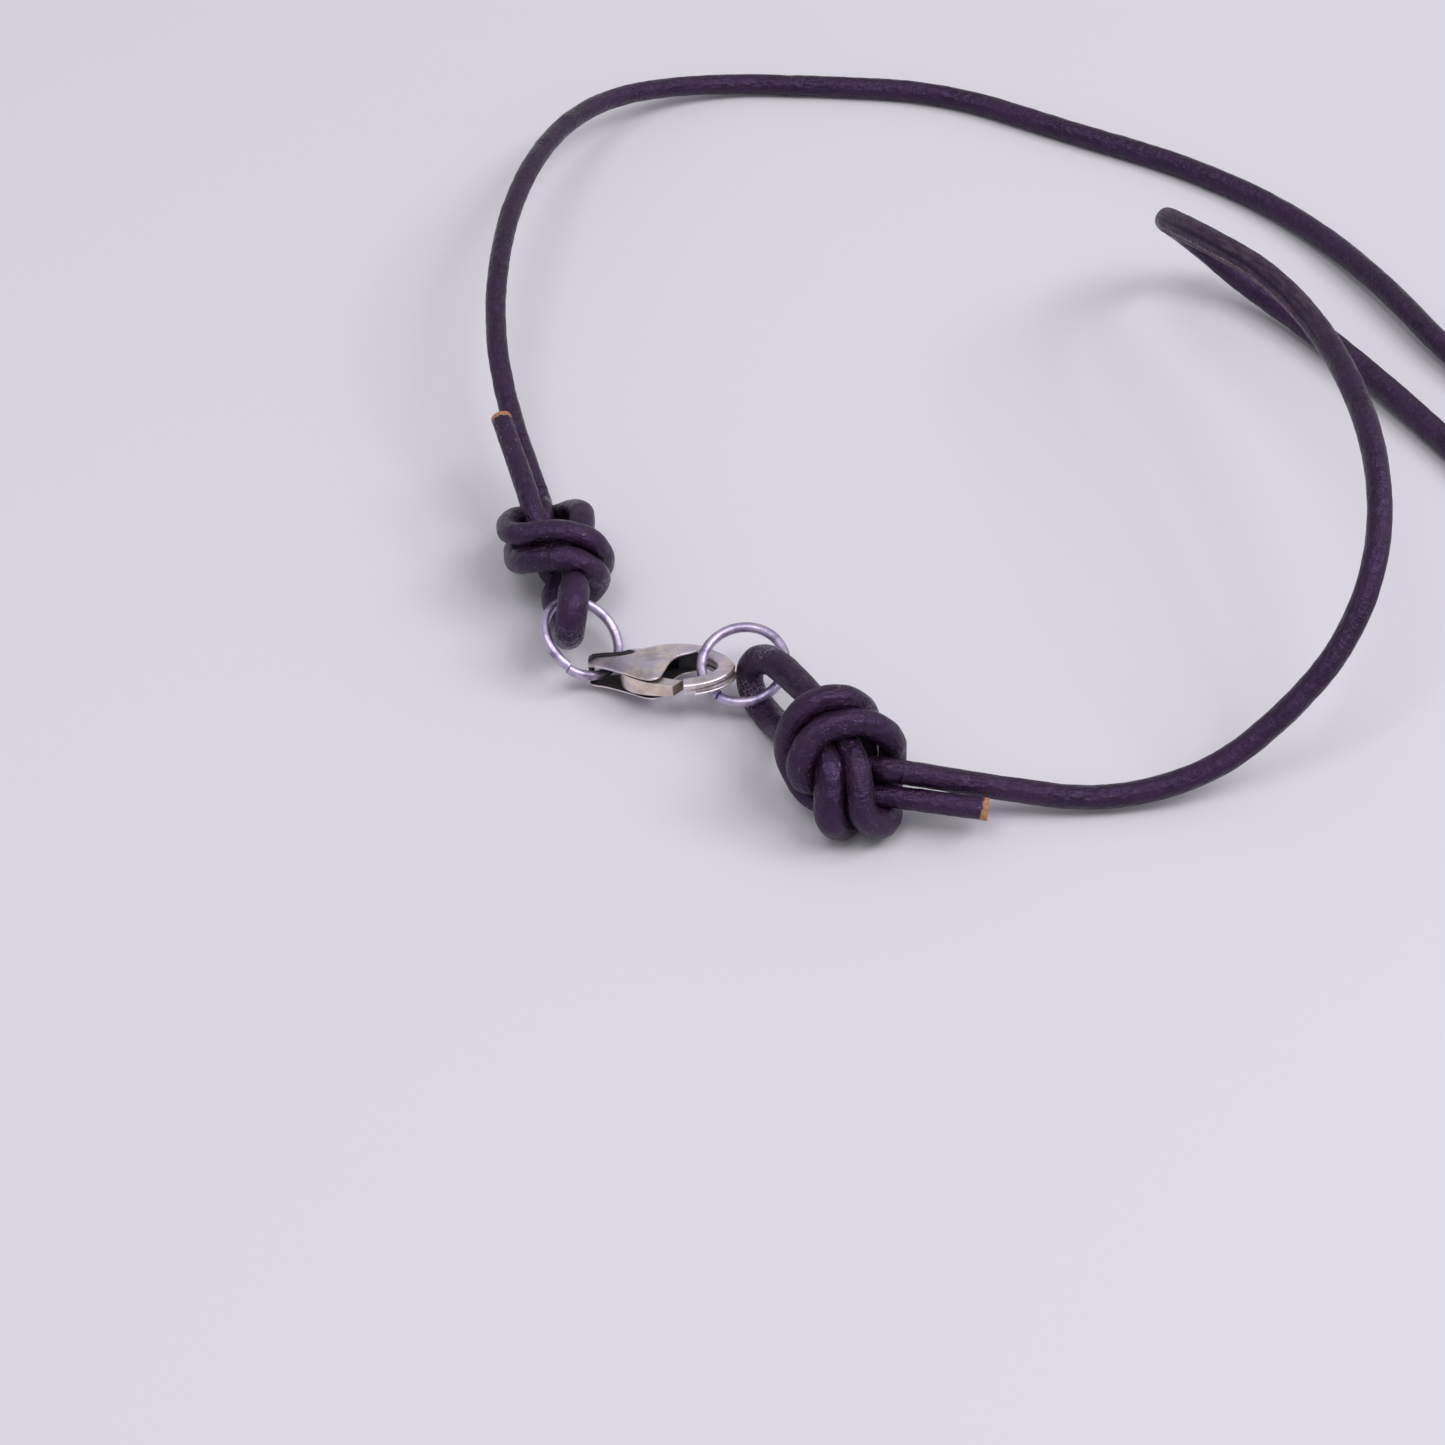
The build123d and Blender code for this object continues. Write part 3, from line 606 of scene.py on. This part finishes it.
def bar(solid, stations, groove=0.0):
    """Bar with rounded corners through stations of x, y, half width, lowest and highest z."""
    rings = []
    for i, (x, y, half, low, high) in enumerate(stations):
        ahead = stations[min(i + 1, len(stations) - 1)]
        behind = stations[max(i - 1, 0)]
        dx, dy = ahead[0] - behind[0], ahead[1] - behind[1]
        size = math.hypot(dx, dy)
        side = (-dy / size, dx / size)
        sunk = groove * min(1, (len(stations) - 1 - i) / GROOVE_FADE + GROOVE_LEAST)
        ring = []
        for k in range(BAR_SIDES):
            turn = 2 * math.pi * k / BAR_SIDES
            c, s = math.cos(turn), math.sin(turn)
            swell = (abs(c) ** BAR_SQUARE + abs(s) ** BAR_SQUARE) ** (-1 / BAR_SQUARE)
            u, w = c * swell * half, s * swell * (high - low) / 2 + (high + low) / 2
            if c > 0:
                u -= sunk * math.exp(-((s * swell - GROOVE_AT) / GROOVE_WIDE) ** 2)
            ring.append(solid.verts.new((x + side[0] * u, y + side[1] * u, w)))
        rings.append(ring)
    for one, two in zip(rings, rings[1:]):
        for k in range(BAR_SIDES):
            j = (k + 1) % BAR_SIDES
            solid.faces.new((one[k], one[j], two[j], two[k]))
    solid.faces.new(list(reversed(rings[0])))
    solid.faces.new(rings[-1])


def cast(name, solid, rounds, shape=None):
    """One smooth casting from overlapping solids, placed with the clasp, its hollows marked."""
    bmesh.ops.recalc_face_normals(solid, faces=solid.faces)
    mesh = bpy.data.meshes.new(name)
    solid.to_mesh(mesh)
    solid.free()
    piece = bpy.data.objects.new(name, mesh)
    scene.collection.objects.link(piece)
    remesh = piece.modifiers.new("fuse", "REMESH")
    remesh.mode = "VOXEL"
    remesh.voxel_size = VOXEL
    melt = piece.modifiers.new("melt", "SMOOTH")
    melt.iterations = rounds
    melt.factor = 0.5
    bpy.context.view_layer.update()
    depsgraph = bpy.context.evaluated_depsgraph_get()
    final = bpy.data.meshes.new_from_object(piece.evaluated_get(depsgraph))
    piece.modifiers.clear()
    piece.data = final
    shade_and_stain = shape(final) if shape else 0.0
    mark_hollows(final, shade_and_stain)
    final.transform(CLASP)
    final.shade_smooth()
    return piece


def vectors(items, name):
    """The coordinates or normals of a mesh's vertices, as rows of numbers."""
    flat = np.empty(len(items) * 3)
    items.foreach_get(name, flat)
    return flat.reshape(-1, 3)


def distance_to(line, place):
    """How far each row of place lies, seen from above, from a line of x, y points."""
    nearest = np.full(len(place), np.inf)
    for (ax, ay), (bx, by) in zip(line, line[1:]):
        along = np.array([bx - ax, by - ay])
        offset = place[:, :2] - np.array([ax, ay])
        share = np.clip(offset @ along / (along @ along + 1e-12), 0, 1)
        nearest = np.minimum(nearest, np.linalg.norm(offset - share[:, None] * along, axis=1))
    return nearest


def mark_hollows(mesh, shade_and_stain):
    """Attributes hollow, 1 where tarnish and painted shade go, and edge, 1 on the rims painted bright as
    wear and a painted highlight.
    """
    place = vectors(mesh.vertices, "co")
    normal = vectors(mesh.vertices, "normal")
    edges = np.empty(len(mesh.edges) * 2, int)
    mesh.edges.foreach_get("vertices", edges)
    edges = edges.reshape(-1, 2)
    degree = np.bincount(edges.ravel(), minlength=len(place))[:, None]
    soft = place.copy()
    for _ in range(HOLLOW_SPREAD):
        total = np.zeros_like(soft)
        np.add.at(total, edges[:, 0], soft[edges[:, 1]])
        np.add.at(total, edges[:, 1], soft[edges[:, 0]])
        soft = total / degree
    # How far a vertex lies in a hollow sets the painted shade there, with tarnish.
    sunk = ((soft - place) * normal).sum(1)
    inward = np.clip(sunk / HOLLOW_SUNK, 0, 1)
    # Rims that stand out get the worn brightness and the painted highlight.
    outward = np.clip(-sunk / HOLLOW_SUNK - RIM_PROUD, 0, 1)
    # The inner walls between the cheeks, painted black as painted shade.
    between = (np.abs(place[:, 2]) < CHANNEL / 2 - 0.04) & (normal[:, 1] < -0.35) & (place[:, 1] > -1.6)
    lining = normal[:, 2] * np.sign(place[:, 2]) < -0.5
    inside = (between | lining) & (place[:, 0] < JAW_TO_X)
    mark = mesh.attributes.new("hollow", "FLOAT", "POINT")
    hollow = np.maximum(np.maximum(inward, inside * JAW_PAINTED_SHADE), shade_and_stain)
    mark.data.foreach_set("value", hollow.astype(np.float32))
    mark = mesh.attributes.new("edge", "FLOAT", "POINT")
    mark.data.foreach_set("value", (outward * (1 - hollow)).astype(np.float32))


def shape_body(mesh):
    """Rounds the cheeks toward their rims, sinks the hollow along the tail and tells where it is painted
    black, as tarnish and painted shade.
    """
    place = vectors(mesh.vertices, "co")
    outline = [tuple(p) for p in cheek_outline] + [tuple(cheek_outline[0])]
    rim = np.clip(1 - distance_to(outline, place) / DOME_BAND, 0, 1)
    cheek = np.clip((np.abs(place[:, 2]) - CHANNEL / 2) / CHEEK_T, 0, 1) * (place[:, 0] < DOME_TO_X)
    behind = np.clip((place[:, 1] - FLAT_FROM_Y - FLAT_SLANT * place[:, 0]) / 0.3, 0, 1)
    behind = behind * np.clip(RAISE_FROM_X - place[:, 0], 0, 1) * (place[:, 2] > 0)
    place[:, 2] -= np.sign(place[:, 2]) * DOME * rim ** 2 * cheek * (1 - behind)
    top = np.clip((place[:, 2] - CHANNEL / 2) / CHEEK_T, 0, 1)
    upper = place[:, 2] > CHANNEL / 2 - 0.05
    place[:, 2] += RAISE * np.clip(1 - place[:, 0] / RAISE_FROM_X, 0, 1) * top
    place[:, 2] -= LIP * upper * (1 - top) * np.clip((LIP_X - place[:, 0]) / 0.25, 0, 1)
    tail = np.clip(1 - (distance_to(TAIL_HOLLOW, place) / TAIL_HOLLOW_R) ** 2, 0, 1)
    top = np.clip(top * 3, 0, 1)
    place[:, 2] -= TAIL_HOLLOW_DEPTH * tail * top
    mesh.vertices.foreach_set("co", place.ravel())
    mesh.update()
    # The tail's hollow is painted black, as tarnish and painted shade.
    fading = 1 - np.clip(place[:, 0] - TAIL_DARK_TO_X, 0, 1)
    return np.clip(2.4 * tail * top * fading, 0, TAIL_TARNISH_AND_SHADE)


CLASP_TONES = ((0.7, 0.64, 0.74, 1), (0.86, 0.77, 0.7, 1), (0.42, 0.36, 0.37, 1))       # cool, warm, dark
clasp_finish = silver("clasp_silver", *CLASP_TONES, 0.65)
half = CHANNEL / 2
solid = bmesh.new()
cheek_outline = smooth_through(CHEEK_EDGE, 5, closed=True)
plate(solid, cheek_outline, half, half + CHEEK_T)
plate(solid, cheek_outline, -half - CHEEK_T, -half)
spine = smooth_through(SPINE_BACK, 6)
spine_outline = [tuple(p) for p in spine] + [(x, y - SPINE_T) for x, y in reversed(spine)]
plate(solid, spine_outline, -half - SEATED, half + SEATED)
hook = smooth_through(HOOK, 4)
bar(solid, hook, HOOK_GROOVE)
ledge = []
for x, y, half_width, low, _ in hook[6:-4]:
    ledge.append((x - LEDGE_IN, y - LEDGE_IN, half_width + LEDGE_WIDER, low, low + LEDGE_T))
bar(solid, ledge)
plate(solid, pin_outline(POST_AT, POST_R, 20), -half - SEATED, half + SEATED)
clasp = cast("clasp_casting", solid, 3, shape_body)
clasp.data.materials.append(clasp_finish)
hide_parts("clasp_body")
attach(clasp, "necklace")

# The clasp's lever.
# A small cast lever turns on its rivet between the cheeks, and its tip closes against the hook.
# It thins toward the tip, where it is no thicker than the hook.
LEVER_EDGE = [(3.0, -1.5), (3.6, -2.55), (4.8, -3.45), (6.4, -4.05), (8.05, -4.3)]
LEVER_INNER = [(8.58, -3.1), (7.0, -2.8), (5.5, -2.0), (4.45, -0.75), (3.75, -0.25), (3.05, -0.75)]
LEVER_HALF = 0.68
LEVER_THINS = 0.36          # share of its thickness lost by the tip, from this x on over this length
THINS_FROM_X = 4.4
THINS_OVER = 3.6
TIP_BLACK = 0.75            # how black the end that meets the hook is, past a slanted line
TIP_AT = (7.95, -4.3)
TIP_SLANT = 0.4
# The lever's warm tone partly stands in for an orange-pink painted reflection.
LEVER_TONES = ((0.78, 0.7, 0.7, 1), (0.88, 0.74, 0.62, 1), (0.46, 0.38, 0.34, 1))       # cool, warm, dark
# Colour painted in the lever's hollows and on its tip's end: tarnish, with painted shade in the hollows.
LEVER_SHADE_AND_STAIN = (0.12, 0.06, 0.045, 1)


def shape_lever(mesh):
    """Thins the lever toward its tip and tells where the tip is black."""
    place = vectors(mesh.vertices, "co")
    place[:, 2] *= 1 - LEVER_THINS * np.clip((place[:, 0] - THINS_FROM_X) / THINS_OVER, 0, 1)
    mesh.vertices.foreach_set("co", place.ravel())
    mesh.update()
    past = place[:, 0] - TIP_AT[0] - TIP_SLANT * (place[:, 1] - TIP_AT[1])
    return TIP_BLACK * np.clip(past / 0.12, 0, 1)


lever_finish = silver("lever_silver", *LEVER_TONES, 0.6, LEVER_SHADE_AND_STAIN)
solid = bmesh.new()
lever_outline = [tuple(p) for p in smooth_through(LEVER_EDGE, 6) + smooth_through(LEVER_INNER, 6)]
plate(solid, lever_outline, -LEVER_HALF, LEVER_HALF)
lever = cast("clasp_thumb_lever", solid, 4, shape_lever)
lever.data.materials.append(lever_finish)
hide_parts("clasp_lever")
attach(lever, "lever")

# The clasp's rivet.
# A short round pin runs through both cheeks and the lever between them, filed almost flush with
# the cheeks.
RIVET_AT = (3.75, -1.0)
RIVET_R = 0.39
RIVET_HALF = half + CHEEK_T + 0.01
solid = bmesh.new()
plate(solid, pin_outline(RIVET_AT, RIVET_R, 24), -RIVET_HALF, RIVET_HALF)
pin = cast("clasp_rivet", solid, 2)
pin.data.materials.append(clasp_finish)
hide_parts("clasp_pin")
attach(pin, "necklace")

# The table and the light.
# A plain matt table, lit by three soft lamps overhead, one from the right, one from the right
# front and one from the left front.
FLOOR_HALF = 3
TABLE = {"Base Color": (0.605, 0.593, 0.638, 1), "Roughness": 0.9, "Specular IOR Level": 0.2}
LAMP_AWAY = 0.9
LAMP_SIZE = 0.36
LAMP_COLOUR = (1.0, 0.985, 1.0)
ROOM = {"Color": (0.95, 0.93, 1.0, 1), "Strength": 0.53}
floor_mesh = bpy.data.meshes.new("table_top")
corners = [(x * FLOOR_HALF, y * FLOOR_HALF, 0) for x, y in ((-1, -1), (1, -1), (1, 1), (-1, 1))]
floor_mesh.from_pydata(corners, [], [(0, 1, 2, 3)])
floor = bpy.data.objects.new("table_top", floor_mesh)
scene.collection.objects.link(floor)
table_finish, _ = shader("table_white", TABLE)
floor_mesh.materials.append(table_finish)

for name, toward, power in (
    ("lamp_right", (0.9, 0.0, 1.0), 2.4),
    ("lamp_right_front", (0.46, -0.34, 1.0), 2.2),
    ("lamp_left", (-0.22, -0.35, 1.0), 2.1),
):
    lamp_data = bpy.data.lights.new(name, "AREA")
    lamp_data.energy = power
    lamp_data.size = LAMP_SIZE
    lamp_data.color = LAMP_COLOUR
    lamp = bpy.data.objects.new(name, lamp_data)
    away = Vector(toward).normalized()
    lamp.location = away * LAMP_AWAY
    lamp.rotation_euler = away.to_track_quat("Z", "Y").to_euler()
    scene.collection.objects.link(lamp)
world = bpy.data.worlds.new("room")
world.use_nodes = True
for socket, value in ROOM.items():
    world.node_tree.nodes["Background"].inputs[socket].default_value = value
scene.world = world
